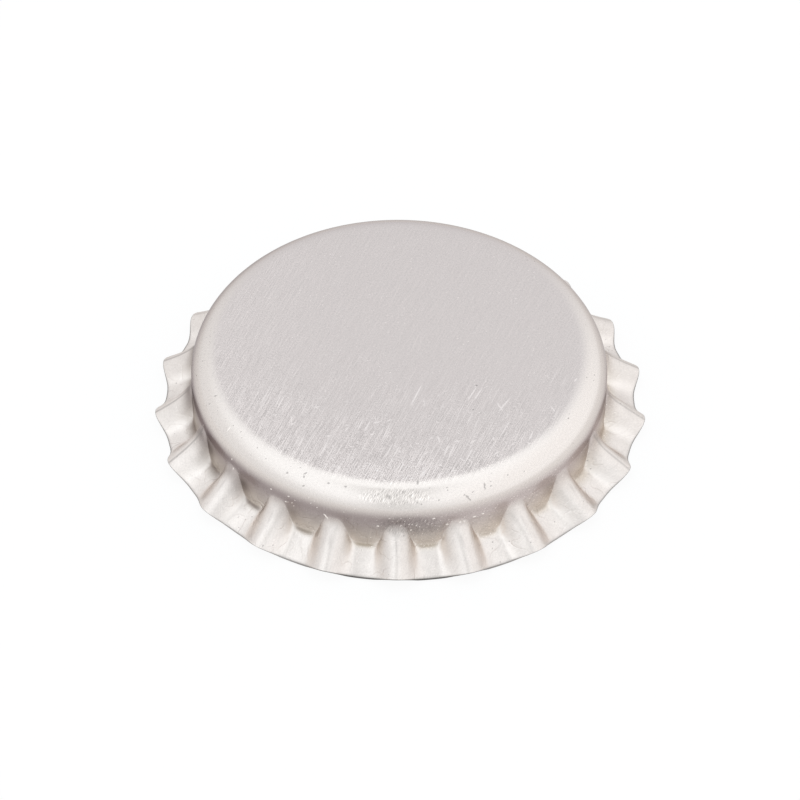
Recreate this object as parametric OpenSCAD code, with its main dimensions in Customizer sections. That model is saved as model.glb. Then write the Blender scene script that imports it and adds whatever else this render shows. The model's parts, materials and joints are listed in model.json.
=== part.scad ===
// Crown bottle cap: a disc of tinplate pressed into a shallow cup, its skirt crimped
// into flutes and flared outwards, with a moulded sealing liner under the top panel.
// Units are millimetres. The cap stands on its skirt, teeth down, with its axis on Z.

/* [Pressed shell] */
// Thickness of the tinplate
sheet = 0.22; // [0.18:0.01:0.26]
// Overall height, from the cut edge in the hollows to the top panel
height = 5.7; // [5.6:0.05:6.1]
// Outside diameter of the short neck under the shoulder
neck_d = 27.1; // [27.0:0.05:27.3]
// Outside radius of the rolled shoulder
shoulder_r = 1.85; // [1.6:0.05:2.0]
// Height at which the flutes start, below the neck
flute_top = 3.43; // [3.3:0.01:3.5]

/* [Fluted skirt] */
// Number of teeth, one at the end of each ridge
teeth = 21; // [18:1:24]
// Diameter over the tips of the teeth
tip_d = 32.1; // [31.9:0.1:32.3]
// Diameter of the cut edge in the hollows between the teeth
hollow_d = 30.8; // [30.6:0.05:31.0]
// How far a tip stands above the cut edge of the hollows
tip_lift = 0.69; // [0.4:0.01:0.8]
// Narrowness of the teeth along the cut edge, where 1 is a plain cosine wave
edge_power = 1.6; // [1:0.1:2]
// Half width of a ridge where it leaves the neck, as a share of the tooth spacing
ridge_share = 0.31; // [0.26:0.01:0.36]
// Fullness of a ridge's section, where 2 is a parabola
ridge_round = 2.2; // [1.8:0.1:3]
// Softness of the crease beside a ridge
crease = 0.25; // [0.15:0.05:0.4]
// Slope of the flared apron below a hollow, in degrees from level
apron_slope = 30; // [27:1:34]
// Slope of the flared end of a ridge, in degrees from level
ridge_slope = 36; // [33:1:38]
// How far a ridge has left the neck where it turns outwards
ridge_stand = 0.12; // [0.05:0.01:0.2]

/* [Sealing liner] */
// Thickness of the liner's thin centre
liner_t = 0.3; // [0.25:0.05:0.4]
// Radius at which the sealing bead is centred, on the bottle's lip
bead_centre_r = 12.05; // [12.0:0.05:12.1]
// Radius of the sealing bead's round section
bead_r = 0.75; // [0.7:0.05:0.8]
// Radius at which the small inner lip is centred
lip_centre_r = 10.4; // [10.2:0.1:10.5]
// Radius of the inner lip's round section
lip_r = 0.35; // [0.3:0.05:0.4]

/* [Hidden] */

tip_r = tip_d / 2;
hollow_r = hollow_d / 2;
neck_r = neck_d / 2;

// The shoulder is a quarter of a ring, from the flat panel round to the upright neck.
panel_r = neck_r - shoulder_r;
shoulder_z = height - shoulder_r;

// The apron leans, so the lower corner of its cut edge touches the ground and the
// upper corner stands this far above it.
foot = sheet * cos(apron_slope);
hollow_bend_z = foot + (hollow_r - neck_r) * tan(apron_slope);
ridge_bend_r = neck_r + ridge_stand;
ridge_bend_z = foot + tip_lift + (tip_r - ridge_bend_r) * tan(ridge_slope);

// Where the neck and the skirt join, the skirt is tucked inside the neck's wall.
tuck = 0.015;
lap = 0.2;
neck_end = flute_top + 0.02;

// Share of each leg of a profile that the bend's curve takes: tight in a hollow,
// where the wall runs down straight, and nearly the whole length on a ridge.
upper_share = [0.12, 0.9];
lower_share = [0.14, 0.85];

// The skirt's mesh: columns for each flute, and rows down the profile.
columns_per_flute = 12;
columns = teeth * columns_per_flute;
rows = [0, 1/3, 5/12, 1/2, 7/12, 2/3, 1];
step = 0.001;

liner_gap = 0.03;
liner_z = height - sheet;
arc_fn = 96;

function mix(a, b, share) = a + (b - a) * share;

// Soft wave along the cut edge: 1 at a tooth and 0 in a hollow.
function wave(angle) = pow((1 + cos(teeth * angle)) / 2, edge_power);

// Crisper wave at the bend: 1 along a ridge, falling as a round back to a crease beside
// it and nearly 0 across the hollow.
function crest(angle) =
    let (
        turns = teeth * angle / 360,
        x = 1 - pow(abs(turns - round(turns)) / ridge_share, ridge_round)
    )
    (x + sqrt(x * x + crease * crease)) / (1 + sqrt(1 + crease * crease));

// Outside profile of the skirt as [radius, height], from 0 at the neck to 1 at the
// cut edge: a straight leg, a bend and a second straight leg.
function profile(angle, s) =
    let (
        w = wave(angle),
        b = crest(angle),
        start = [neck_r, flute_top],
        bend = mix([neck_r, hollow_bend_z], [ridge_bend_r, ridge_bend_z], b),
        edge = mix([hollow_r, foot], [tip_r, foot + tip_lift], w),
        bend_in = mix(bend, start, mix(upper_share[0], upper_share[1], b)),
        bend_out = mix(bend, edge, mix(lower_share[0], lower_share[1], b)),
        t = 3 * s - 1
    )
    t < 0 ? mix(start, bend_in, t + 1)
    : t < 1 ? mix(mix(bend_in, bend, t), mix(bend, bend_out, t), t)
    : mix(bend_out, edge, t - 1);

// Places a [radius, height] pair at an angle counted from the front, -Y.
function place(p, angle) = [p[0] * sin(angle), -p[0] * cos(angle), p[1]];

function outside(angle, s) = place(profile(angle, s), angle);

// Outward normal of the skirt's outside, from its two directions of travel.
function normal(angle, s) =
    let (
        round_it = outside(angle + step, s) - outside(angle - step, s),
        down_it = outside(angle, min(s + step, 1)) - outside(angle, max(s - step, 0)),
        n = cross(down_it, round_it)
    )
    n / norm(n);

function inside(angle, s) = outside(angle, s) - sheet * normal(angle, s);

// Faces of a closed loop of columns: each ring's points are joined to the next ring's.
function band(ring_a, ring_b) = [
    for (i = [0 : columns - 1])
        let (
            j = (i + 1) % columns,
            a = ring_a * columns,
            b = ring_b * columns
        )
        each [[a + i, b + j, b + i], [a + i, a + j, b + j]]
];

module fluted_skirt() {
    angles = [for (i = [0 : columns - 1]) 360 * i / columns];
    tucked_out = neck_r - tuck;
    tucked_in = neck_r - sheet + tuck;
    rings = [
        [for (a = angles) place([tucked_out, flute_top + lap], a)],
        [for (a = angles) place([tucked_out, flute_top], a)],
        for (k = [1 : len(rows) - 1]) [for (a = angles) outside(a, rows[k])],
        for (k = [len(rows) - 1 : -1 : 1]) [for (a = angles) inside(a, rows[k])],
        [for (a = angles) place([tucked_in, flute_top], a)],
        [for (a = angles) place([tucked_in, flute_top + lap], a)]
    ];
    polyhedron(
        points = [for (ring = rings) each ring],
        faces = [for (k = [0 : len(rings) - 1]) each band(k, (k + 1) % len(rings))],
        convexity = 8
    );
}

// Half section of the flat panel, the rolled shoulder and the neck.
module cup_section() {
    translate([0, height - sheet])
        square([panel_r, sheet]);
    translate([panel_r, shoulder_z])
        intersection() {
            difference() {
                circle(shoulder_r, $fn = arc_fn);
                circle(shoulder_r - sheet, $fn = arc_fn);
            }
            square(shoulder_r + 1);
        }
    translate([neck_r - sheet, neck_end])
        square([sheet, shoulder_z - neck_end]);
}

module shell() {
    color("lightgray") {
        rotate_extrude($fn = columns)
            cup_section();
        fluted_skirt();
    }
}

// Half section of the liner: a thin disc, a small inner lip and the sealing bead,
// trimmed to sit inside the shoulder's curve.
module liner_section() {
    intersection() {
        union() {
            translate([0, liner_z - liner_t])
                square([bead_centre_r, liner_t]);
            translate([lip_centre_r, liner_z - liner_t])
                circle(lip_r, $fn = arc_fn);
            translate([bead_centre_r, liner_z - liner_t / 2])
                circle(bead_r, $fn = arc_fn);
        }
        union() {
            square([panel_r, liner_z]);
            translate([panel_r, shoulder_z])
                circle(shoulder_r - sheet - liner_gap, $fn = arc_fn);
        }
    }
}

module liner() {
    color("whitesmoke")
        rotate_extrude($fn = columns)
            liner_section();
}

shell();
liner();
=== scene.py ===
"""Looks of a pressed tinplate crown cap.

It makes a fine mesh of the shell, the finishes of the shell and the liner, the floor, the
light and the camera. Sizes are in millimetres until a mesh is made, and angles go round
from the front tooth (-Y) towards +X.
"""

import json
import math

import bpy
import numpy as np
from mathutils import Matrix, Vector


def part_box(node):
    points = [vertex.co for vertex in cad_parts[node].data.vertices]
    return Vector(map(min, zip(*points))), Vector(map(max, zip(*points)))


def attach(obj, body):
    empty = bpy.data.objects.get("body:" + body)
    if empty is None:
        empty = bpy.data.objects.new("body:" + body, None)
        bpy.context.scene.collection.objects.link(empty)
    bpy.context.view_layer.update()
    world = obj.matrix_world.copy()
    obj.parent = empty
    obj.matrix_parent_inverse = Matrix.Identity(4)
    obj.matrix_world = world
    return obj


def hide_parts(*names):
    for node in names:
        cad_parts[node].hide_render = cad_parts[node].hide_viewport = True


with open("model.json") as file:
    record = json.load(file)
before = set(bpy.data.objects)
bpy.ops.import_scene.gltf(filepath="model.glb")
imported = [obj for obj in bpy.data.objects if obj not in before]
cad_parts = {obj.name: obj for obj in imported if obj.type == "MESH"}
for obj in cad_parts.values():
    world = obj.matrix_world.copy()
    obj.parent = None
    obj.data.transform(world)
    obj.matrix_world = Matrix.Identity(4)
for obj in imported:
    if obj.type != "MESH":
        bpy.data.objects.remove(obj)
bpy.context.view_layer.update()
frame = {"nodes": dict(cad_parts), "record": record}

MM = 0.001


# ---------------------------------------------------------------- sizes of the shell

def mount_dims(name):
    return next(m["dims"] for m in frame["record"]["mounts"] if m["name"] == name)


# The height, the neck's radius and the teeth's reach come from the frame, and the rest down
# to the bends' heights repeats the part's source.
SHELL_LOW, SHELL_HIGH = (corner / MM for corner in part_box("shell"))
HEIGHT = SHELL_HIGH.z
TIP_R = -SHELL_LOW.y
SHEET = 0.22
NECK_R = mount_dims("bottle_mouth")["r_mm"] + SHEET
HOLLOW_R = 15.4
SHOULDER_R = 1.85
PANEL_R = NECK_R - SHOULDER_R
SHOULDER_Z = HEIGHT - SHOULDER_R
FLUTE_TOP = 3.43

TEETH = 21
TIP_LIFT = 0.69
EDGE_POWER = 1.6
RIDGE_ROUND = 2.2
CREASE = 0.25
RIDGE_STAND = 0.12
APRON_SLOPE = math.radians(30)
RIDGE_SLOPE = math.radians(36)
FOOT = SHEET * math.cos(APRON_SLOPE)
HOLLOW_BEND_Z = FOOT + (HOLLOW_R - NECK_R) * math.tan(APRON_SLOPE)
RIDGE_BEND_Z = FOOT + TIP_LIFT + (TIP_R - NECK_R - RIDGE_STAND) * math.tan(RIDGE_SLOPE)

# Share of each leg that the bend takes, in a hollow and on a ridge. The hollows' bends are a
# little rounder than in the source.
UPPER_SHARE = (0.18, 0.9)
LOWER_SHARE = (0.18, 0.85)

# Half width of a ridge as a share of the tooth spacing: narrow where it leaves the neck, and
# full from this share of the way down the skirt.
RIDGE_SHARE_TOP = 0.18
RIDGE_SHARE = 0.31
RIDGE_WIDENED = 0.6

# How this cap differs from a perfect one: its top is slightly crowned, and its skirt sits a
# little to the right and a little flatter at the front.
CROWN_START = 5.0
CROWN_TILT = math.radians(0.8)
SKIRT_SHIFT = 0.15
FRONT_FLAT = 0.08

# Its flutes are faintly dented by waves: their depth, their number, and the least and most
# radians a millimetre. They grow outwards from the neck and upwards from the floor.
DENTS = ((0.008, 14, 0.9, 2.4), (0.0025, 14, 2.6, 5.0))
DENT_SEED = 21
DENTED_OUT = (0.1, 0.9)
DENTED_UP = (0, 0.9)

# The mesh: columns round the cap, and rings down the outside. The sheared edge has rings at
# these shares of the sheet's thickness, and the inside has every third ring of the outside.
COLUMNS = TEETH * 32
ANGLES = np.arange(COLUMNS) * 2 * np.pi / COLUMNS
PANEL_RINGS, SHOULDER_RINGS, NECK_RINGS, SKIRT_RINGS = 12, 24, 3, 46
CENTRE_R = 0.05
CUT_SHARES = (0.1, 0.5, 0.9)
INSIDE_STEP = 3

# Side of the square of flat sheet that the UV map covers.
BLANK_SPAN = 40.0
BLANK_UV = "blank"


# ---------------------------------------------------------------- form of the shell

def mix(a, b, share):
    return a + (b - a) * share


def ease(x, start, end):
    """Eases from 0 where x is start to 1 where it is end, which may be the smaller."""
    t = np.clip((x - start) / (end - start), 0, 1)
    return t * t * (3 - 2 * t)


def past_crest(angles):
    """How far past the nearest ridge an angle is, as a share of the tooth spacing: -0.5 to 0.5."""
    turns = TEETH * angles / (2 * np.pi)
    return turns - np.round(turns)


def wave(angles):
    """Soft wave along the cut edge: 1 at a tooth and 0 in a hollow."""
    return ((1 + np.cos(TEETH * angles)) / 2) ** EDGE_POWER


def crest(angles, share=RIDGE_SHARE):
    """Crisper wave at the bend: 1 along a ridge, falling as a round back to a crease beside it."""
    x = 1 - (np.abs(past_crest(angles)) / share) ** RIDGE_ROUND
    return (x + np.sqrt(x * x + CREASE ** 2)) / (1 + math.sqrt(1 + CREASE ** 2))


def ridge_share(s):
    """Half width of a ridge, at a share of the way down the skirt."""
    return mix(RIDGE_SHARE_TOP, RIDGE_SHARE, ease(s, 0, RIDGE_WIDENED))


def skirt_row(s):
    """Radius and height of the skirt's outside, from s = 0 at the neck to 1 at the cut edge."""
    w, b = wave(ANGLES), crest(ANGLES, ridge_share(s))
    start = np.array([np.full(COLUMNS, NECK_R), np.full(COLUMNS, FLUTE_TOP)])
    bend = np.array([mix(NECK_R, NECK_R + RIDGE_STAND, b), mix(HOLLOW_BEND_Z, RIDGE_BEND_Z, b)])
    edge = np.array([mix(HOLLOW_R, TIP_R, w), FOOT + TIP_LIFT * w])
    bend_in = mix(bend, start, mix(*UPPER_SHARE, b))
    bend_out = mix(bend, edge, mix(*LOWER_SHARE, b))
    t = 3 * s - 1
    if t < 0:
        return mix(start, bend_in, t + 1)
    if t < 1:
        return mix(mix(bend_in, bend, t), mix(bend, bend_out, t), t)
    return mix(bend_out, edge, t - 1)


def outside_rows():
    """Rows of the outside, from the panel's middle to the cut edge.

    A row holds the radii and the heights of all columns.
    """
    flat = np.ones(COLUMNS)
    rows = []
    for r in np.linspace(CENTRE_R, PANEL_R, PANEL_RINGS):
        rows.append((r * flat, HEIGHT * flat))
    for turn in np.linspace(0, math.pi / 2, SHOULDER_RINGS + 1)[1:]:
        r = PANEL_R + SHOULDER_R * math.sin(turn)
        rows.append((r * flat, (SHOULDER_Z + SHOULDER_R * math.cos(turn)) * flat))
    for z in np.linspace(SHOULDER_Z, FLUTE_TOP, NECK_RINGS + 2)[1:-1]:
        rows.append((NECK_R * flat, z * flat))
    rows += [skirt_row(s) for s in np.linspace(0, 1, SKIRT_RINGS)]
    return np.array(rows)


def placed(rows):
    """Turns rows of radii and heights into points."""
    r, z = rows[:, 0], rows[:, 1]
    return np.stack([r * np.sin(ANGLES), -r * np.cos(ANGLES), z], -1)


def outward(points):
    """Outward normals of the outside."""
    down = np.gradient(points, axis=0)
    along = np.roll(points, -1, 1) - np.roll(points, 1, 1)
    n = np.cross(down, along)
    return n / np.linalg.norm(n, axis=-1, keepdims=True)


def crown(r):
    """How far the top has sunk at a radius.

    Its slope grows to CROWN_TILT at the panel's edge and fades over the shoulder.
    """
    width = PANEL_R - CROWN_START
    panel = np.clip(r - CROWN_START, 0, width)
    shoulder = np.clip(r - PANEL_R, 0, SHOULDER_R)
    return CROWN_TILT * (panel ** 2 / (2 * width) + shoulder - shoulder ** 2 / (2 * SHOULDER_R))


def dents(points):
    """Height of waves that cross the cap in random directions."""
    draw = np.random.default_rng(DENT_SEED)
    height = np.zeros(points.shape[:2])
    for depth, count, least, most in DENTS:
        for _ in range(count):
            way, phase = draw.uniform(0, 2 * np.pi, 2)
            along = points[..., 0] * math.cos(way) + points[..., 1] * math.sin(way)
            height += depth * np.sin(along * draw.uniform(least, most) + phase)
    return height


def worn(points, rows):
    """The cap as this one really is: crowned, slightly out of round and faintly dented."""
    r, z = rows[:, 0], rows[:, 1]
    skirt = ease(r, PANEL_R, TIP_R)
    front = np.clip(np.cos(ANGLES), 0, 1) ** 2
    moved = points.copy()
    moved[..., 2] -= crown(r) * ease(z, FLUTE_TOP, HEIGHT)
    moved[..., 0] += SKIRT_SHIFT * skirt
    moved[..., 1] += FRONT_FLAT * skirt * front
    dented = ease(r - NECK_R, *DENTED_OUT) * ease(z, *DENTED_UP)
    return moved + outward(points) * (dents(points) * dented)[..., None]


# ---------------------------------------------------------------- marks on the shell

# A mark is a share from 0 to 1 at every point, which tells the finish where on the pressing
# it is. Most marks say where the sheet mirrors dark or bright surroundings, which the finish
# paints into the colour as painted shade and painted light. A pair is where a mark is 0 and
# where it is 1, unless its comment says otherwise. Leans are heights of the outward normal: 0
# on an upright wall and 1 on a level one. Distances from the neck's outside are in millimetres.

# How far to the left or right a column is, and where the far and the outermost teeth are.
SIDEWAYS = np.abs(np.sin(ANGLES))
FAR = ease(SIDEWAYS, 0.6, 0.9)
OUTERMOST = ease(SIDEWAYS, 0.82, 0.92)

PRESSED_FROM = (PANEL_R - 0.1, PANEL_R + 0.6)
FLUTES_DOWN = (FLUTE_TOP, FLUTE_TOP - 0.4)
POCKET_DOWN = (FLUTE_TOP + 0.2, FLUTE_TOP - 2.2)

# A wall counts as upright up to the first lean on the neck and the second in the flutes, and
# fades over the next pair in front and at the far sides.
UPRIGHT_LEAN = (0.05, 0.32)
UPRIGHT_FADE = (0.34, 0.22)

# A ridge's back starts at this height of the crest's wave, is full at the pair in front and
# at the far sides, and sets in below the neck.
BACK_FROM = 0.05
BACK_FULL = (0.55, 0.65)
BACK_DOWN = (FLUTE_TOP + 0.05, FLUTE_TOP - 0.7)

# How much of its shade a back loses, as an upright wall and beside the neck.
BACK_WALL_LOSS, BACK_ROOT_LOSS = 0.85, 0.8

# Width of the painted shade beside the neck, in front and at the far sides.
ROOT_WIDTH = (0.3, 0.8)

# The bend at the foot of a hollow: its leans, which grow sideways, its reach, and the heights
# of the crest's wave in a hollow.
BEND_LEAN = (0.1, 0.3)
BEND_PAST = (0.63, 0.33)
BEND_SIDEWAYS = 0.2
BEND_OUT = (0.6, 0.4)
HOLLOW_CREST = (0.16, 0.04)

# The side of a ridge that faces the front, as shares of the tooth spacing from its crest. Its
# shade is for the ridges at the sides, fades outwards, sets in below the neck, and has a
# strength of its own at the left and at the right.
LEE_FROM = (-0.03, 0.1)
LEE_PAST = (0.48, 0.3)
LEE_SIDEWAYS = (0.3, 0.7)
LEE_OUT = (1.0, 0.2)
LEE_DOWN = (FLUTE_TOP - 0.2, FLUTE_TOP - 0.8)
LEE_LEFT, LEE_RIGHT = 0.62, 0.32

# Painted light: the bright crease beside a ridge, at these heights of the crest's wave. It fades
# where the sheet is level, near the neck (low and high on the skirt), and high up at the sides.
FLANK_LEAN = (0.9, 0.55)
CREASE_FROM = (0, 0.1)
CREASE_PAST = (0.5, 0.2)
HIGH_UP = (1.7, 2.3)
FLANK_ROOT_LOSS = (0.4, 1)
FLANK_SIDE_LOSS = 0.8

# The stretch of a ridge on which the die left its line, out from the neck, and how dark the
# line is there when the ridge isn't one of the outermost.
# On the outermost ridges the line is a painted shade along the whole crest.
DIE_FROM = (0.4, 0.7)
DIE_PAST = (1.4, 1.0)
DIE_SHADE = 0.4

# How dark the outside is in the ring next to the sheared edge, as a painted shade line.
BESIDE_CUT = 0.2


def softened(values, rows=2, columns=3):
    """Averages over neighbouring rows and columns."""
    across = sum(np.roll(values, k, 1) for k in range(-columns, columns + 1)) / (2 * columns + 1)
    padded = np.pad(across, ((rows, rows), (0, 0)), "edge")
    return sum(padded[k:k + len(values)] for k in range(2 * rows + 1)) / (2 * rows + 1)


def ridge_backs(z):
    """1 on the round backs of the ridges."""
    skirt = np.clip(np.arange(len(z)) - len(z) + SKIRT_RINGS, 0, None) / (SKIRT_RINGS - 1)
    raised = crest(ANGLES, ridge_share(skirt)[:, None])
    return ease(raised, BACK_FROM, mix(*BACK_FULL, FAR)) * ease(z, *BACK_DOWN)


def upright_walls(lean, flutes):
    """1 on walls that stand upright."""
    wall = mix(*UPRIGHT_LEAN, flutes)
    return 1 - ease(lean, wall, wall + mix(*UPRIGHT_FADE, FAR))


def hollow_bends(r, lean):
    """1 along the bend at the foot of each hollow."""
    bend = ease(lean, *BEND_LEAN) * ease(lean - BEND_SIDEWAYS * SIDEWAYS, *BEND_PAST)
    return bend * ease(r - NECK_R, *BEND_OUT) * ease(crest(ANGLES), *HOLLOW_CREST)


def lee_sides(r, z):
    """The painted shade on the sides of the side ridges that face the front."""
    ahead = -past_crest(ANGLES) * np.sign(np.sin(ANGLES))
    strength = np.where(ANGLES > np.pi, LEE_LEFT, LEE_RIGHT) * ease(SIDEWAYS, *LEE_SIDEWAYS)
    side = ease(ahead, *LEE_FROM) * ease(ahead, *LEE_PAST) * strength
    return side * ease(r - NECK_R, *LEE_OUT) * ease(z, *LEE_DOWN)


def shade_marks(r, z, lean, flutes, root):
    """Marks of the painted shade, where the sheet mirrors dark surroundings.

    One is on the upright walls and the other is on what turns outwards from them.
    """
    steep = upright_walls(lean, flutes)
    back = ridge_backs(z)
    wall = steep * (1 - BACK_WALL_LOSS * back)
    upright = np.maximum(wall, root * (1 - BACK_ROOT_LOSS * back * (1 - FAR)))
    foot = root * (1 - steep) * np.maximum(FAR, SIDEWAYS * (1 - back))
    foot = np.maximum.reduce([foot, hollow_bends(r, lean) * flutes, lee_sides(r, z)])
    return {"upright": softened(upright), "root": softened(foot, 1, 1)}


def flank_mark(z, lean, flutes, root):
    """The painted light on the creases beside the ridges, which fades towards the neck and
    sideways.
    """
    crease = ease(crest(ANGLES), *CREASE_FROM) * ease(crest(ANGLES), *CREASE_PAST) * flutes
    high = ease(z, *HIGH_UP)
    fading = (1 - root * mix(*FLANK_ROOT_LOSS, high)) * (1 - FLANK_SIDE_LOSS * SIDEWAYS * high)
    return softened(ease(lean, *FLANK_LEAN) * crease * fading, columns=1)


def crest_marks(r, flutes):
    """Marks of the crest's line, a die line and painted shade, and the distance from it in
    millimetres.
    """
    stretch = ease(r - NECK_R, *DIE_FROM) * ease(r - NECK_R, *DIE_PAST)
    return {
        "die": np.maximum(stretch, OUTERMOST) * flutes,
        "crest_line": np.maximum(DIE_SHADE * stretch, OUTERMOST) * flutes,
        "crest_gap": np.abs(past_crest(ANGLES)) * 2 * np.pi / TEETH * r,
    }


def outside_marks(rows, lean):
    """All marks of the outside's rows."""
    r, z = rows[:, 0], rows[:, 1]
    flutes = ease(z, *FLUTES_DOWN)
    root_width = mix(*ROOT_WIDTH, FAR)
    root = ease(r, NECK_R + root_width, NECK_R) * flutes
    return {
        **shade_marks(r, z, lean, flutes, root),
        **crest_marks(r, flutes),
        "flank": flank_mark(z, lean, flutes, root),
        "pressed": ease(r, *PRESSED_FROM),
        "pocket": ease(z, *POCKET_DOWN),
        "flute": flutes,
    }


def cut_edge_mark(outside_rings, rings):
    """1 on the sheared edge, with a faint line of painted shade beside it on the outside, and 0
    elsewhere.
    """
    mark = np.zeros((rings, COLUMNS))
    mark[outside_rings - 2] = BESIDE_CUT
    mark[outside_rings - 1:outside_rings + len(CUT_SHARES)] = 1
    return mark


# ---------------------------------------------------------------- mesh of the shell

def blank_uv(points, rows):
    """Places on the flat sheet before it was pressed, at the same distance from its middle."""
    steps = np.linalg.norm(np.diff(points, axis=0, prepend=points[:1]), axis=-1)
    length = np.cumsum(steps, axis=0) + rows[0, 0]
    return np.stack([length * np.sin(ANGLES), -length * np.cos(ANGLES)], -1) / BLANK_SPAN + 0.5


def skin(values):
    """Carries values of the outside's rings over the cut edge and along the inside."""
    edge = np.repeat(values[-1:], len(CUT_SHARES), 0)
    return np.concatenate([values, edge, values[::-INSIDE_STEP]])


def with_ends(values):
    """Values of all the rings' points, and of a point in the middle of each end ring."""
    flat = values.reshape(-1, *values.shape[2:])
    return np.concatenate([flat, [values[0].mean(0), values[-1].mean(0)]])


def skin_faces(rings, columns):
    """Quads between the rings, and a fan round the point in the middle of each end ring."""
    i = np.arange(columns)
    j = (i + 1) % columns
    quads = []
    for k in range(rings - 1):
        a, b = k * columns, (k + 1) * columns
        quads.append(np.stack([a + i, b + i, b + j, a + j], -1))
    first, last = rings * columns, rings * columns + 1
    end = (rings - 1) * columns
    fans = [(first, int(a), int(b)) for a, b in zip(i, j)]
    fans += [(last, int(end + b), int(end + a)) for a, b in zip(i, j)]
    return np.vstack(quads).tolist() + fans


def make_mesh(name, points, uv, marks):
    """A closed skin from rings of points."""
    me = bpy.data.meshes.new(name)
    me.from_pydata(with_ends(points) * MM, [], skin_faces(*points.shape[:2]))
    me.shade_smooth()
    corner = np.empty(len(me.loops), dtype=np.int32)
    me.loops.foreach_get("vertex_index", corner)
    corner_uv = with_ends(uv)[corner].astype(np.float32)
    me.uv_layers.new(name=BLANK_UV).uv.foreach_set("vector", corner_uv.ravel())
    for key, values in marks.items():
        layer = me.attributes.new(key, "FLOAT", "POINT")
        layer.data.foreach_set("value", with_ends(values).astype(np.float32))
    ob = bpy.data.objects.new(name, me)
    bpy.context.scene.collection.objects.link(ob)
    return ob


def make_shell():
    """The shell's skin, with a UV map of the flat sheet and marks for its finish."""
    rows = outside_rows()
    perfect = placed(rows)
    outer = worn(perfect, rows)
    normals = outward(outer)
    inner = outer - SHEET * normals
    cut = np.array([mix(outer[-1], inner[-1], share) for share in CUT_SHARES])
    points = np.concatenate([outer, cut, inner[::-INSIDE_STEP]])
    marks = {key: skin(values) for key, values in outside_marks(rows, normals[..., 2]).items()}
    marks["cut_edge"] = cut_edge_mark(len(outer), len(points))
    return make_mesh("tinplate_shell", points, skin(blank_uv(perfect, rows)), marks)


# ---------------------------------------------------------------- node trees

# Roughness of every noise, its middle level, and the part of a spot's radius that is full.
NOISE_ROUGHNESS, NOISE_MIDDLE, SPOT_CORE = 0.55, 0.5, 0.4


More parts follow.
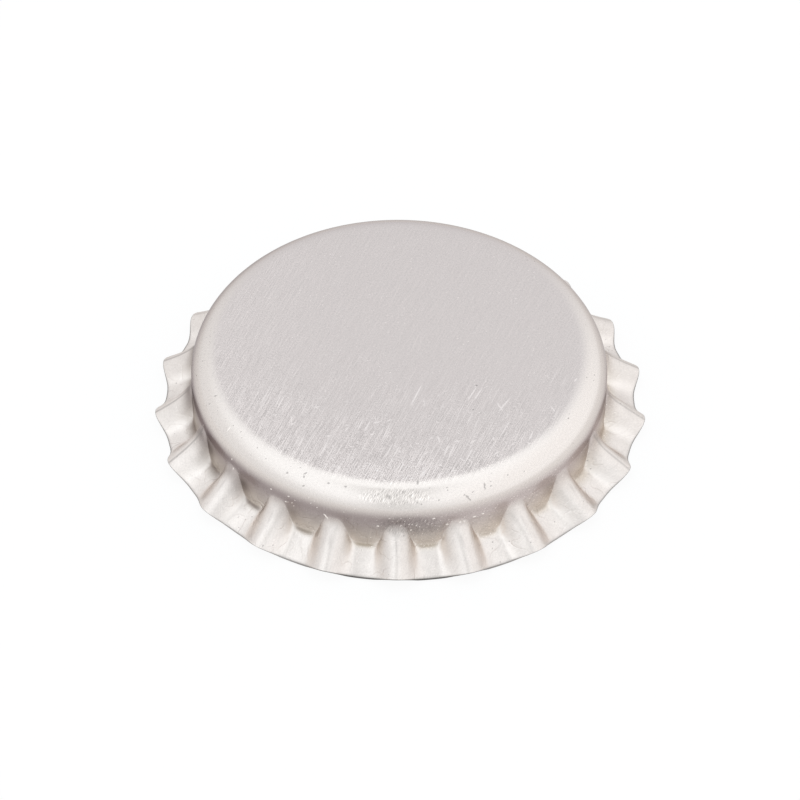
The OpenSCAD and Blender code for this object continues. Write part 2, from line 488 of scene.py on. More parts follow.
class Nodes:
    """Short names for building a node tree."""

    def __init__(self, block, shader):
        block.use_nodes = True
        self.block = block
        self.tree = block.node_tree
        self.shader = self.tree.nodes[shader]

    def add(self, kind, inputs=(), **settings):
        node = self.tree.nodes.new(kind)
        for key, value in settings.items():
            setattr(node, key, value)
        for key, value in dict(inputs).items():
            self.put(value, node.inputs[key])
        return node

    def put(self, value, socket):
        """Links a node's output to a socket, or sets the socket to a plain value."""
        if isinstance(value, bpy.types.NodeSocket):
            self.tree.links.new(value, socket)
        else:
            socket.default_value = value

    def math(self, operation, a, b=0.0, c=0.0):
        return self.add("ShaderNodeMath", {0: a, 1: b, 2: c}, operation=operation).outputs[0]

    def plus(self, a, b):
        return self.math("ADD", a, b)

    def minus(self, a, b):
        return self.math("SUBTRACT", a, b)

    def times(self, a, b):
        return self.math("MULTIPLY", a, b)

    def most(self, a, b):
        return self.math("MAXIMUM", a, b)

    def absolute(self, value):
        return self.math("ABSOLUTE", value)

    def scaled(self, value, gain, base=0.0):
        return self.math("MULTIPLY_ADD", value, gain, base)

    def centred(self, noise, gain=1.0):
        """Turns noise from 0 to 1 into values about 0."""
        return self.scaled(noise, gain, -gain / 2)

    def without(self, share):
        """What a share leaves of 1."""
        return self.scaled(share, -1.0, 1.0)

    def ramp(self, value, low, high):
        """Eases from 0 at low to 1 at high, which may be the smaller."""
        inputs = {"Value": value, "From Min": low, "From Max": high}
        return self.add("ShaderNodeMapRange", inputs, interpolation_type="SMOOTHSTEP").outputs[0]

    def blend(self, factor, a, b, how="MIX"):
        node = self.add("ShaderNodeMix", data_type="RGBA", blend_type=how)
        for value, socket in ((factor, node.inputs[0]), (a, node.inputs[6]), (b, node.inputs[7])):
            self.put(value, socket)
        return node.outputs[2]

    def tinted(self, colour, tint):
        return self.blend(1.0, colour, tint, "MULTIPLY")

    def grey(self, value):
        return self.add("ShaderNodeCombineColor", {0: value, 1: value, 2: value}).outputs[0]

    def mark(self, name):
        return self.add("ShaderNodeAttribute", attribute_name=name).outputs["Fac"]

    def vector(self, operation, a, b):
        return self.add("ShaderNodeVectorMath", {0: a, 1: b}, operation=operation).outputs

    def dot(self, a, b):
        return self.vector("DOT_PRODUCT", a, b)["Value"]

    def mapped(self, at, **settings):
        return self.add("ShaderNodeMapping", {"Vector": at, **settings}).outputs[0]

    def noise(self, at, along, across, detail, place=0.0):
        """Noise with this many features a millimetre along and across the first axis."""
        where = self.mapped(at, Location=(place, place, 0), Scale=(along, across, 1))
        inputs = {"Vector": where, "Scale": 1.0, "Detail": detail, "Roughness": NOISE_ROUGHNESS}
        return self.add("ShaderNodeTexNoise", inputs, noise_dimensions="2D").outputs["Fac"]

    def veins(self, noise, none, full):
        """Thin lines where noise crosses its middle value."""
        return self.ramp(self.absolute(self.minus(noise, NOISE_MIDDLE)), none, full)

    def spots(self, at, per_mm, radius, share, place):
        """Round spots of a radius in millimetres, in a share of the cells of a random grid."""
        where = self.mapped(at, Location=(place, place, 0))
        inputs = {"Vector": where, "Scale": per_mm}
        cells = self.add("ShaderNodeTexVoronoi", inputs, voronoi_dimensions="2D").outputs
        outline = radius * per_mm
        shape = self.ramp(cells["Distance"], outline, outline * SPOT_CORE)
        chance = self.add("ShaderNodeSeparateColor", {0: cells["Color"]}).outputs[0]
        return self.times(shape, self.math("GREATER_THAN", chance, 1 - share))

    def ellipse(self, at, x, y, length, width, turn=0.0):
        """Squared distance from an ellipse's middle, which is 1 at its outline."""
        c, s = math.cos(math.radians(turn)), math.sin(math.radians(turn))
        away = self.vector("SUBTRACT", at, (x, y, 0))[0]
        along = self.dot(away, (c * 2 / length, s * 2 / length, 0))
        across = self.dot(away, (-s * 2 / width, c * 2 / width, 0))
        return self.math("MULTIPLY_ADD", along, along, self.times(across, across))

    def bumped(self, height, step):
        """Gives the surface a height, in steps of a distance in metres."""
        bump = self.add("ShaderNodeBump", {"Height": height, "Strength": 1.0, "Distance": step})
        self.put(bump.outputs[0], self.shader.inputs["Normal"])


class Finish(Nodes):
    """The node tree of a new material."""

    def __init__(self, name):
        super().__init__(bpy.data.materials.new(name), "Principled BSDF")


# ---------------------------------------------------------------- tinplate

# The direction of the brush on the flat sheet, from +X, and of the long lines it left.
BRUSH_ANGLE = math.radians(68)
LINE_ANGLE = BRUSH_ANGLE + 0.03

TIN = (0.72, 0.667, 0.63, 1)
BRIGHT = (0.98, 0.92, 0.87, 1)
PIT = (0.25, 0.23, 0.22, 1)
WHITE = (1, 1, 1, 1)

# Tints of the painted reflection of the darker surroundings: at the left, in front and at the
# right.
NECK_TINTS = ((0.5, 0.465, 0.48, 1), (0.475, 0.44, 0.45, 1), (0.76, 0.72, 0.735, 1))
POCKET_TINTS = ((0.93, 0.93, 0.89, 1), (0.88, 0.86, 0.8, 1), (1.06, 1.04, 0.98, 1))
# The root tints are painted shade beside the neck.
ROOT_TINTS = ((0.42, 0.385, 0.38, 1), (0.65, 0.61, 0.55, 1), (0.72, 0.69, 0.66, 1))

# Tints that dim the reflection at a glancing angle, a painted shade along the outlines: above the
# flutes, there at the left, and on the flutes.
GLANCE = (0.6, 0.57, 0.57, 1)
GLANCE_LEFT = (0.47, 0.44, 0.45, 1)
GLANCE_FLUTES = (0.82, 0.8, 0.79, 1)

# Roughness of the smoothest places, and how much the strokes and the flutes add.
ROUGHNESS, FINE_ROUGHNESS, FLUTE_ROUGHNESS = 0.2, 0.06, 0.12

# The sheared edge, in front and at the sides, and the distances from the middle that part them.
# The edge is dark steel; the near-black in front is painted shade.
CUT_FRONT, CUT_SIDE = (0.05, 0.047, 0.045, 1), (0.36, 0.34, 0.33, 1)
CUT_SIDEWAYS = (3.0, 11.0)

# Where the left and the right begin and are full, and so for the sparkle at the right and the
# dust at the left, in millimetres from the middle.
LEFT_FROM = (-3.0, -11.0)
RIGHT_FROM = (-1.0, 8.0)
SPARKLE_FROM = (-2.5, 0.5)
DUST_FROM = (-9.5, -12.0)

# The brush's reach grows by 1 a millimetre towards the front. Sideways it grows by the sum of
# the first two at the left and by their difference at the right, and the third makes it waver.
# The sheet is worked over the first pair of reaches, and the marks are strongest near the
# front, over the second. Pressing wiped off most of the work.
REACH_SIDEWAYS, REACH_RIGHT, REACH_WAVER = 0.1, 0.1, 8.0
WORKED_FROM, NEAR_FROM = (0.0, 12.0), (9.0, 12.0)
WORKED_GAIN, WORKED_BASE = 1.05, 0.15
WIPED = 0.9

# Noise on the flat sheet: features a millimetre along and across, detail, and a place of its own.
CLOUD = (0.3, 0.3, 3.0, 70.0)
FINE = (0.3, 12.0, 2.0, 0.0)
GRIT = (8.0, 24.0, 2.0, 51.0)
FIBRE = (1.0, 20.0, 1.0, 33.0)
RASP = (3.0, 18.0, 2.0, 81.0)
MOTTLE = (8.0, 8.0, 2.0, 10.0)
LINES = (0.35, 15.0, 0.0, 90.0)
CURLS = (2.0, 2.0, 0.0, 17.0)
CURL_PATCHES = (2.6, 2.6, 0.0, 57.0)
GLINT_PATCHES = (0.5, 0.5, 1.0, 44.0)
SMUDGE = (1.3, 1.3, 3.0, 64.0)
FOLDS = (0.7, 0.7, 1.0, 7.0)

# Levels of noise between which a line, a vein or a patch fades in, from none to full. A vein's
# are distances from the middle level.
LINE_LEVEL = (0.74, 0.8)
CURL_VEIN, CURL_PATCH_LEVEL = (0.05, 0.02), (0.66, 0.72)
FOLD_VEIN, FOLD_PATCH_LEVEL = (0.03, 0.0), (0.35, 0.55)
PIT_PATCH_LEVEL = (0.45, 0.55)
GLINT_PATCH_LEVEL = (0.55, 0.62)

# Half the range over which the outline of spots and marks is made ragged, in millimetres.
RAGGED = 0.07

# Random spots: cells a millimetre, radius in millimetres, share of the cells, and a place.
PIT_SPOTS = (1.8, 0.06, 0.15, 5.0)
DUST_SPOTS = (3.2, 0.07, 0.45, 61.0)
GLINT_SPOTS = (2.6, 0.05, 0.25, 25.0)
SPARKLE_SPOTS = (3.6, 0.04, 0.3, 71.0)

# The deeper marks on this cap, each as x, y and length on the flat sheet and its turn in degrees:
# bright scratches on the panel, painted highlights as glints along the neck, and dark nicks. All
# have one width and fade in between two squared distances, and the last distance is beyond both.
MARK_WIDTH = 0.12
MARK_EDGE = (1.44, 0.25)
FAR_OFF = 9.0
SCRATCHES = (
    (1.2, -4.1, 2.1, 70), (4.8, -3.9, 1.4, 65), (5.2, -3.9, 1.2, 65), (6.9, -4.8, 1.4, 61),
    (6.6, -5.0, 0.8, 118), (10.0, -5.1, 0.6, 120), (11.5, -2.4, 0.4, 60), (8.6, -7.6, 1.0, 72),
    (6.4, -9.2, 0.6, 45), (6.2, -7.9, 0.3, 100), (3.9, -8.2, 0.5, 10), (3.9, -8.2, 0.4, 120),
    (3.5, -9.2, 1.5, 72), (4.9, -8.2, 0.5, 40), (2.6, -6.5, 0.3, 130), (2.7, -8.0, 0.5, 100),
    (3.2, -9.0, 1.2, 74), (1.9, -9.3, 0.4, 45), (1.5, -10.0, 1.4, 70), (3.7, -10.8, 0.3, 0),
    (0.0, -9.2, 1.0, 68), (-0.5, -9.2, 1.2, 70), (-1.6, -7.7, 0.3, 20), (-1.3, -6.6, 0.5, 15),
    (-0.5, -6.4, 0.4, 30), (-2.9, -8.8, 0.4, 160), (-3.2, -6.9, 0.2, 0), (-4.4, -7.9, 0.5, 0),
    (-5.2, -5.3, 0.4, 10), (-6.8, -6.4, 0.6, 100), (-7.5, -8.1, 0.5, 80), (-10.9, -7.0, 0.4, 40),
)
GLINTS = (
    (-1.3, -15.2, 0.2, 0), (1.1, -15.5, 0.2, 60), (3.7, -14.9, 0.2, 0), (4.6, -14.6, 0.2, 30),
    (4.9, -14.5, 0.2, 0), (5.6, -14.1, 0.3, 20), (6.2, -13.8, 0.2, 0), (2.6, -14.4, 0.2, 0),
    (-5.0, -14.3, 0.5, 120), (-11.4, -9.0, 0.2, 0), (-11.8, -9.6, 0.2, 45), (-7.4, -12.5, 0.2, 0),
    (-7.9, -12.9, 0.2, 0), (-13.8, -5.5, 0.2, 0), (-8.7, -11.8, 0.2, 0),
)
NICKS = (
    (-5.8, -11.1, 0.3, 20), (-5.9, -11.3, 0.2, 90), (-6.0, -11.9, 0.2, 0), (-4.3, -11.9, 0.2, 0),
    (-3.2, -12.2, 0.2, 0), (1.4, -11.9, 0.35, 90), (5.7, -11.8, 0.5, 100), (4.7, -12.7, 0.6, 140),
    (-7.0, -10.9, 0.2, 0), (-11.8, -4.2, 0.2, 0), (4.9, -5.3, 0.15, 0), (5.4, -5.6, 0.15, 0),
    (5.1, -3.1, 0.15, 0),
)

# Two streaked patches at the front, each as x, y, length and width, and how softly their edges
# fade: brush streaks with a painted reflection on the shoulder, and with painted shade on the
# neck.
SCUFF_AND_REFLECTION, SCUFF_AND_REFLECTION_EDGE = (0.0, -12.9, 4.6, 1.1), (1.44, 0.49)
NECK_SCUFF_AND_SHADE, NECK_SCUFF_AND_SHADE_EDGE = (1.2, -15.1, 5.2, 1.8), (1.44, 0.16)

# How strongly each noise shows as grain, and how strongly the grain shows in each place.
FINE_GRAIN, FIBRE_GRAIN, GRIT_GRAIN = 0.4, 0.45, 1.0
WORKED_GRAIN, NEAR_GRAIN, TOP_GRAIN, LEFT_GRAIN, FLUTE_GRAIN = 0.85, 0.6, 0.05, 0.28, 0.13
SCUFF_AND_REFLECTION_GRAIN, NECK_SCUFF_AND_SHADE_GRAIN = 1.8, 1.0
SAND, SAND_ON_RIGHT, SMUDGE_STRENGTH = 0.18, 0.27, 0.16

# How much paler some places are, or darker below 0: the streaked patches (the one on the neck
# is painted shade), the top near the front (two pairs of reaches, and how much each adds), all
# but the shoulder and neck at the left, and those two at the right.
SCUFF_AND_REFLECTION_PALER, NECK_SCUFF_AND_SHADE_PALER = 0.06, -0.19
NEAR_PALER = ((7.0, 12.0, 0.01), (10.2, 12.0, 0.06))
LEFT_PALER, RING_PALER = 0.03, 0.03

# How strongly each mark shows in the colour, the creases' and glints' painted highlights too. A
# glint is stronger on an upright wall, and a crest's line is weaker at the right.
FLANK_BRIGHT, SCRATCH_BRIGHT = 0.75, 0.65
GLINT_BRIGHT, GLINT_UPRIGHT = 0.4, 0.5
PIT_DARK, DUST_DARK = 0.6, 0.3
CREST_DARK, CREST_RIGHT = 0.45, -0.12

# The bump's step in metres, and the height of each mark in such steps.
BUMP_STEP = 1.5e-6
STROKE_HEIGHT, PRESSED_STROKES = 0.35, 0.35
MOTTLE_HEIGHT, FLUTE_MOTTLE = 0.35, -0.1
PIT_DEPTH, GLINT_HEIGHT, FOLD_DEPTH, DIE_HEIGHT = 3.0, 2.0, 8.0, 5.0

# Half width of the line on a ridge's crest, in millimetres, from its edge to its full strength.
CREST_LINE = (0.13, 0.02)


class Tinplate(Finish):
    """Bare tinplate, brushed one way as a flat sheet before it was pressed."""

    def __init__(self):
        super().__init__("tinplate")
        self.find_place()
        self.find_wear()
        self.find_noise()
        self.find_marks()
        colour = self.marked(self.tinted(self.sheet_colour(), self.grey(self.grain())))
        self.put(colour, self.shader.inputs["Base Color"])
        self.shader.inputs["Metallic"].default_value = 1.0
        # The glancing tint dims the outlines as painted shade, most at the left.
        glance = self.blend(self.flute, self.blend(self.left, GLANCE, GLANCE_LEFT), GLANCE_FLUTES)
        self.put(glance, self.shader.inputs["Specular Tint"])
        roughness = self.scaled(self.fine, FINE_ROUGHNESS, ROUGHNESS)
        roughness = self.scaled(self.flute, FLUTE_ROUGHNESS, roughness)
        self.put(roughness, self.shader.inputs["Roughness"])
        self.bumped(self.height(), BUMP_STEP)

    def find_place(self):
        """Where a point is: on the flat sheet in millimetres, and on the pressing."""
        uv = self.add("ShaderNodeUVMap", uv_map=BLANK_UV).outputs[0]
        half = -BLANK_SPAN / 2
        self.mm = self.mapped(uv, Location=(half, half, 0), Scale=(BLANK_SPAN,) * 3)
        self.brushed = self.mapped(self.mm, Rotation=(0, 0, -BRUSH_ANGLE))
        self.x, self.y, _ = self.add("ShaderNodeSeparateXYZ", {0: self.mm}).outputs
        self.pressed, self.flute = self.mark("pressed"), self.mark("flute")
        self.upright = self.mark("upright")
        self.left, self.right = self.ramp(self.x, *LEFT_FROM), self.ramp(self.x, *RIGHT_FROM)
        self.ring = self.times(self.pressed, self.without(self.flute))
        self.on_right = self.times(self.upright, self.ramp(self.x, *SPARKLE_FROM))

    def find_wear(self):
        """How deep the brush bit, and the streaked patches of painted reflection and shade.

        It bit deepest towards the front, and pressing wiped its marks off the shoulder and skirt.
        """
        self.cloud = self.noise(self.mm, *CLOUD)
        reach = self.minus(self.scaled(self.absolute(self.x), REACH_SIDEWAYS), self.y)
        reach = self.minus(reach, self.scaled(self.x, REACH_RIGHT))
        self.reach = self.plus(reach, self.centred(self.cloud, REACH_WAVER))
        worked = self.scaled(self.ramp(self.reach, *WORKED_FROM), WORKED_GAIN, WORKED_BASE)
        self.worked = self.times(worked, self.scaled(self.pressed, -WIPED, 1.0))
        # A streaked patch on the shoulder that paints a reflection, and one on the neck that
        # paints shade.
        self.scuff_and_reflection = self.ramp(self.ellipse(self.mm, *SCUFF_AND_REFLECTION), *SCUFF_AND_REFLECTION_EDGE)
        self.neck_scuff_and_shade = self.ramp(self.ellipse(self.mm, *NECK_SCUFF_AND_SHADE), *NECK_SCUFF_AND_SHADE_EDGE)

    def find_noise(self):
        """The brush's strokes, and the mottle of the sheet."""
        self.fine = self.noise(self.brushed, *FINE)
        self.grit = self.noise(self.brushed, *GRIT)
        self.fibre = self.noise(self.brushed, *FIBRE)
        self.rasp = self.noise(self.brushed, *RASP)
        self.mottle = self.noise(self.mm, *MOTTLE)
        jitter = self.grey(self.centred(self.mottle, 2 * RAGGED))
        self.ragged = self.vector("ADD", self.mm, jitter)[0]

    def find_marks(self):
        """Bright scratches, painted highlights as glints, dark pits and nicks, and the line along
        a crest.
        """
        self.scratch = self.scratches()
        self.pits = self.most(self.pitting(), self.scaled(self.dust(), DUST_DARK))
        self.glints = self.glinting()
        self.on_crest = self.ramp(self.mark("crest_gap"), *CREST_LINE)

    def dashes(self, marks):
        """Short thin marks, each as x, y, length and turn in degrees."""
        nearest = FAR_OFF
        for x, y, length, turn in marks:
            dash = self.ellipse(self.ragged, x, y, length, MARK_WIDTH, turn)
            nearest = self.math("MINIMUM", nearest, dash)
        return self.ramp(nearest, *MARK_EDGE)

    def scratches(self):
        """Long lines of the brush, loose curls, and the deeper scratches."""
        lines = self.mapped(self.mm, Rotation=(0, 0, -LINE_ANGLE))
        line = self.ramp(self.noise(lines, *LINES), *LINE_LEVEL)
        curl = self.veins(self.noise(self.mm, *CURLS), *CURL_VEIN)
        patches = self.ramp(self.noise(self.mm, *CURL_PATCHES), *CURL_PATCH_LEVEL)
        curl = self.times(curl, patches)
        fine = self.times(self.most(line, curl), self.worked)
        return self.most(fine, self.dashes(SCRATCHES))

    def pitting(self):
        """Small pits in patches of the pressed sheet, and the nicks."""
        patches = self.ramp(self.cloud, *PIT_PATCH_LEVEL)
        pits = self.times(self.spots(self.ragged, *PIT_SPOTS), patches)
        return self.most(self.times(pits, self.pressed), self.dashes(NICKS))

    def dust(self):
        """Fine dark specks on the shoulder at the far left."""
        dust = self.times(self.spots(self.ragged, *DUST_SPOTS), self.ring)
        return self.times(dust, self.ramp(self.x, *DUST_FROM))

    def glinting(self):
        """Painted highlights on small raised specks: in a few patches, along the neck at the
        right, and the glints.
        """
        patches = self.ramp(self.noise(self.mm, *GLINT_PATCHES), *GLINT_PATCH_LEVEL)
        specks = self.times(self.spots(self.ragged, *GLINT_SPOTS), patches)
        sparkle = self.times(self.spots(self.ragged, *SPARKLE_SPOTS), self.on_right)
        return self.most(self.most(specks, sparkle), self.dashes(GLINTS))

    def around(self, on_left, in_front, on_right):
        return self.blend(self.left, self.blend(self.right, in_front, on_right), on_left)

    def sheet_colour(self):
        """Bare tin, with painted shade where it mirrors the darker surroundings and beside the
        neck.
        """
        neck = self.around(*NECK_TINTS)
        shade = self.blend(self.mark("pocket"), neck, self.around(*POCKET_TINTS))
        colour = self.tinted(TIN, self.blend(self.upright, WHITE, shade))
        root = self.blend(self.mark("root"), WHITE, self.around(*ROOT_TINTS))
        return self.tinted(colour, root)

    def grain(self):
        """Brightness of the sheet's grain and of its paler places, about 1."""
        fine, fibre = self.centred(self.fine, FINE_GRAIN), self.centred(self.fibre, FIBRE_GRAIN)
        streak = self.plus(self.plus(fine, fibre), self.centred(self.grit, GRIT_GRAIN))
        top = self.without(self.pressed)
        grain = self.times(streak, self.grain_strength(top))
        # Streaks in the patches of painted reflection and shade.
        streaked = self.scaled(self.neck_scuff_and_shade, NECK_SCUFF_AND_SHADE_GRAIN)
        streaked = self.scaled(self.scuff_and_reflection, SCUFF_AND_REFLECTION_GRAIN, streaked)
        grain = self.plus(grain, self.times(self.centred(self.rasp), streaked))
        sandy = self.scaled(self.on_right, SAND_ON_RIGHT, SAND)
        grain = self.plus(grain, self.times(self.centred(self.mottle), sandy))
        smudge = self.centred(self.noise(self.mm, *SMUDGE), SMUDGE_STRENGTH)
        grain = self.plus(grain, self.times(smudge, self.flute))
        return self.plus(self.plus(grain, self.paler(top)), 1.0)

    def grain_strength(self, top):
        near = self.times(self.ramp(self.reach, *NEAR_FROM), top)
        shown = self.plus(self.scaled(self.worked, WORKED_GRAIN), self.scaled(near, NEAR_GRAIN))
        on_left = self.times(self.scaled(self.left, LEFT_GRAIN, TOP_GRAIN), top)
        return self.plus(self.plus(shown, on_left), self.scaled(self.flute, FLUTE_GRAIN))

    def paler(self, top):
        """How much paler than the rest a place is."""
        # The neck's streaked patch is darkened as painted shade.
        scuffs_and_shade = self.scaled(self.neck_scuff_and_shade, NECK_SCUFF_AND_SHADE_PALER)
        paler = self.scaled(self.scuff_and_reflection, SCUFF_AND_REFLECTION_PALER, scuffs_and_shade)
        for start, end, gain in NEAR_PALER:
            near = self.times(self.ramp(self.reach, start, end), top)
            paler = self.scaled(near, gain, paler)
        off_ring = self.times(self.left, self.without(self.ring))
        paler = self.scaled(off_ring, LEFT_PALER, paler)
        return self.scaled(self.times(self.ring, self.right), RING_PALER, paler)

    def marked(self, colour):
        """A colour with the creases, scratches, glints, pits, crest lines and sheared edge."""
        # Painted light: the creases beside the ridges are brightened.
        colour = self.blend(self.scaled(self.mark("flank"), FLANK_BRIGHT), colour, BRIGHT)
        colour = self.blend(self.scaled(self.scratch, SCRATCH_BRIGHT), colour, BRIGHT)
        # Painted highlights: the glints and bright specks, stronger on upright walls.
        glints = self.times(self.glints, self.scaled(self.upright, GLINT_UPRIGHT, GLINT_BRIGHT))
        colour = self.blend(glints, colour, BRIGHT)
        colour = self.blend(self.scaled(self.pits, PIT_DARK), colour, PIT)
        # The crest's dark line: the die's line, and painted shade on the outermost ridges.
        line = self.times(self.on_crest, self.mark("crest_line"))
        line = self.times(line, self.scaled(self.right, CREST_RIGHT, CREST_DARK))
        colour = self.blend(line, colour, PIT)
        # Sheared edge: darker steel, darker still in front as painted shade.
        cut = self.blend(self.ramp(self.absolute(self.x), *CUT_SIDEWAYS), CUT_FRONT, CUT_SIDE)
        return self.blend(self.mark("cut_edge"), colour, cut)

    def height(self):
        """Height of the strokes and marks."""
        strokes = self.scaled(self.plus(self.fine, self.fibre), STROKE_HEIGHT)
        shown = self.most(self.worked, self.scaled(self.pressed, PRESSED_STROKES))
        height = self.times(strokes, shown)
        mottle = self.scaled(self.flute, FLUTE_MOTTLE, MOTTLE_HEIGHT)
        height = self.plus(height, self.times(self.mottle, mottle))
        height = self.scaled(self.pits, -PIT_DEPTH, height)
        height = self.scaled(self.glints, GLINT_HEIGHT, height)
        height = self.scaled(self.folds(), -FOLD_DEPTH, height)
        return self.scaled(self.times(self.on_crest, self.mark("die")), DIE_HEIGHT, height)

    def folds(self):
        """Faint folds across the flutes, in patches."""
        fold = self.times(self.veins(self.noise(self.mm, *FOLDS), *FOLD_VEIN), self.flute)
        return self.times(fold, self.ramp(self.cloud, *FOLD_PATCH_LEVEL))


# ---------------------------------------------------------------- liner

COMPOUND_DARK, COMPOUND_PALE = (0.80, 0.79, 0.74, 1), (0.84, 0.835, 0.80, 1)
COMPOUND_GRAIN = (6.0, 6.0, 4.0)
COMPOUND_CLOUD = (0.35, 0.35, 3.0, 20.0)
COMPOUND_PATCH_LEVEL = (0.35, 0.65)
COMPOUND_ROUGHNESS, GRAIN_ROUGHNESS = 0.38, 0.16

# The mould's rings in radians a millimetre and their height, in steps of the bump in metres.
MOULD_RINGS, RING_HEIGHT = 14.0, 0.12
COMPOUND_BUMP = 1.2e-5


def liner_finish():
    """Moulded sealing compound: matt, slightly waxy, with fine rings left by its mould."""
    n = Finish("liner_compound")
    at = n.add("ShaderNodeTexCoord").outputs["Object"]
    mm = n.mapped(at, Scale=(1 / MM, 1 / MM, 0))
    radius = n.add("ShaderNodeVectorMath", {0: mm}, operation="LENGTH").outputs["Value"]
    rings = n.math("SINE", n.scaled(radius, MOULD_RINGS))
    grain = n.noise(mm, *COMPOUND_GRAIN)
    cloud = n.noise(mm, *COMPOUND_CLOUD)
    colour = n.blend(n.ramp(cloud, *COMPOUND_PATCH_LEVEL), COMPOUND_DARK, COMPOUND_PALE)
    n.put(colour, n.shader.inputs["Base Color"])
    n.put(n.scaled(grain, GRAIN_ROUGHNESS, COMPOUND_ROUGHNESS), n.shader.inputs["Roughness"])
    n.bumped(n.scaled(rings, RING_HEIGHT, grain), COMPOUND_BUMP)
    return n.block


# ---------------------------------------------------------------- floor

FLOOR_SIDE = 1200.0
PAPER = (0.88, 0.88, 0.88, 1)
PAPER_ROUGHNESS = 0.9
SHADOW_LIFT = 0.92


def floor_finish():
    """White paper that shows only a soft part of the cap's shadow, seen or mirrored."""
    n = Finish("floor_paper")
    n.put(PAPER, n.shader.inputs["Base Color"])
    n.shader.inputs["Roughness"].default_value = PAPER_ROUGHNESS
    n.shader.inputs["Specular IOR Level"].default_value = 0.0
    path = n.add("ShaderNodeLightPath").outputs
    mirrored = n.most(path["Is Glossy Ray"], path["Is Transmission Ray"])
    seen = n.most(path["Is Camera Ray"], mirrored)
    white = n.add("ShaderNodeEmission", {"Color": WHITE, "Strength": 1.0}).outputs[0]
    inputs = {0: n.scaled(seen, SHADOW_LIFT), 1: n.shader.outputs[0], 2: white}
    both = n.add("ShaderNodeMixShader", inputs).outputs[0]
    n.put(both, n.tree.nodes["Material Output"].inputs["Surface"])
    return n.block


def make_floor():
    me = bpy.data.meshes.new("floor")
    half = FLOOR_SIDE / 2 * MM
    corners = [(-half, -half, 0), (half, -half, 0), (half, half, 0), (-half, half, 0)]
    me.from_pydata(corners, [], [(0, 1, 2, 3)])
    ob = bpy.data.objects.new("floor", me)
    bpy.context.scene.collection.objects.link(ob)
    me.materials.append(floor_finish())


# ---------------------------------------------------------------- light

TENT_LIGHT = (1.05, 1.07, 1.09, 1)
OVERHEAD_LIGHT = (1.365, 1.425, 1.47, 1)
RIGHT_LIGHT = (1.22, 1.24, 1.26, 1)
BACK_LIGHT = (0.857, 0.868, 0.915, 1)
GAP_LIGHT = (0.97, 1.0, 1.02, 1)

# The two brighter patches: the rise and turn of their middle, and the angles from it at which
# they are full and gone, all in degrees.
OVERHEAD = (75, 180, 30, 75)
FROM_RIGHT = (10, 92, 20, 75)

# The dimmer wall behind and the gap in front, as shares of the direction's length up, sideways
# and back, each from none to full.
WALL_UP = (math.sin(math.radians(72)), math.sin(math.radians(46)))
WALL_BACK, WALL_SIDEWAYS = (0.1, 0.4), (0.6, 0.04)
GAP_UP, GAP_BACK, GAP_SIDEWAYS = (0.0, 0.2), (0.06, -0.06), (0.28, 0.08)


def toward(rise, turn):
    """Direction at a rise above the horizon and a turn from +Y towards +X, both in degrees."""
    rise, turn = math.radians(rise), math.radians(turn)
    return (math.cos(rise) * math.sin(turn), math.cos(rise) * math.cos(turn), math.sin(rise))


def make_world():
    """A white light tent: brightest overhead, bright at the right and dimmer behind.

    The gap for the camera is in front.
    """
    sky = Nodes(bpy.data.worlds.new("studio"), "Background")
    at = sky.add("ShaderNodeTexCoord").outputs["Generated"]
    side, back, up = sky.add("ShaderNodeSeparateXYZ", {0: at}).outputs

    def patch(light, other, rise, turn, full, none):
        """The other light, with this light in a round patch of the sky."""
        near = sky.dot(at, toward(rise, turn))
        share = sky.ramp(near, math.cos(math.radians(none)), math.cos(math.radians(full)))
        return sky.blend(share, other, light)

    light = patch(OVERHEAD_LIGHT, TENT_LIGHT, *OVERHEAD)
    light = patch(RIGHT_LIGHT, light, *FROM_RIGHT)
    wall = sky.times(sky.ramp(up, *WALL_UP), sky.ramp(back, *WALL_BACK))
    wall = sky.times(wall, sky.ramp(sky.absolute(side), *WALL_SIDEWAYS))
    light = sky.blend(wall, light, BACK_LIGHT)
    gap = sky.times(sky.ramp(back, *GAP_BACK), sky.ramp(sky.absolute(side), *GAP_SIDEWAYS))
    light = sky.blend(sky.times(gap, sky.ramp(up, *GAP_UP)), light, GAP_LIGHT)
    sky.put(light, sky.shader.inputs["Color"])
    sky.shader.inputs["Strength"].default_value = 1.0
    bpy.context.scene.world = sky.block


# ---------------------------------------------------------------- camera

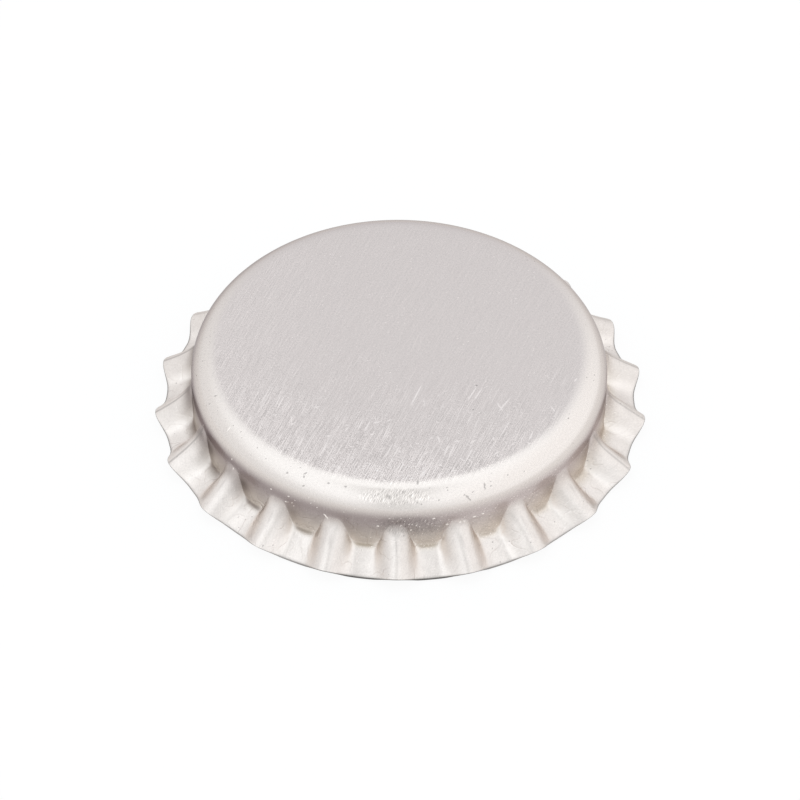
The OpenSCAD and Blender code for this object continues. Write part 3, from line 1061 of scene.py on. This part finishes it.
CAMERA_FAR = 420.0
CAMERA_RISE = math.radians(44.72)
CAMERA_TURN = math.radians(-0.57)
CAMERA_ROLL = math.radians(0.452)
TARGET = Vector((0, 0, 3.0))

# The picture's side, the focal length and the target's place, all in pixels.
PICTURE = 800
FOCAL_PIXELS = 6436.9
TARGET_PIXEL = (398.30, 380.09)

# The sensor's width in millimetres, and the nearest and farthest that is seen, in metres.
SENSOR = 36
CLIP = (0.01, 10)


def camera_axes():
    """The camera's sideways, up and forward axes before it is turned round the cap."""
    ahead = Vector((0, math.cos(CAMERA_RISE), -math.sin(CAMERA_RISE)))
    up = Vector((0, math.sin(CAMERA_RISE), math.cos(CAMERA_RISE)))
    right = Vector((1, 0, 0))
    c, s = math.cos(CAMERA_ROLL), math.sin(CAMERA_ROLL)
    return right * c + up * s, up * c - right * s, ahead


def make_camera():
    """Looks at the cap from the front, with the target point at its pixel of the picture."""
    right, up, ahead = camera_axes()
    place = TARGET - ahead * CAMERA_FAR
    dx = (PICTURE / 2 - TARGET_PIXEL[0]) / FOCAL_PIXELS
    dy = (TARGET_PIXEL[1] - PICTURE / 2) / FOCAL_PIXELS
    aim = (ahead + right * dx + up * dy).normalized()
    side = aim.cross(up).normalized()
    top = side.cross(aim)
    turn = Matrix.Rotation(-CAMERA_TURN, 3, "Z")
    basis = Matrix((side, top, -aim)).transposed()
    data = bpy.data.cameras.new("camera")
    data.sensor_width = SENSOR
    data.lens = FOCAL_PIXELS * SENSOR / PICTURE
    data.clip_start, data.clip_end = CLIP
    ob = bpy.data.objects.new("camera", data)
    ob.matrix_world = Matrix.Translation(turn @ place * MM) @ (turn @ basis).to_4x4()
    bpy.context.scene.collection.objects.link(ob)
    bpy.context.scene.camera = ob


# ---------------------------------------------------------------- scene

shell = make_shell()
shell.data.materials.append(Tinplate().block)
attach(shell, "root")
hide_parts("shell")

liner = frame["nodes"]["liner"]
liner.data.materials.clear()
liner.data.materials.append(liner_finish())

make_floor()
make_world()
make_camera()
bpy.context.scene.view_settings.view_transform = "Standard"
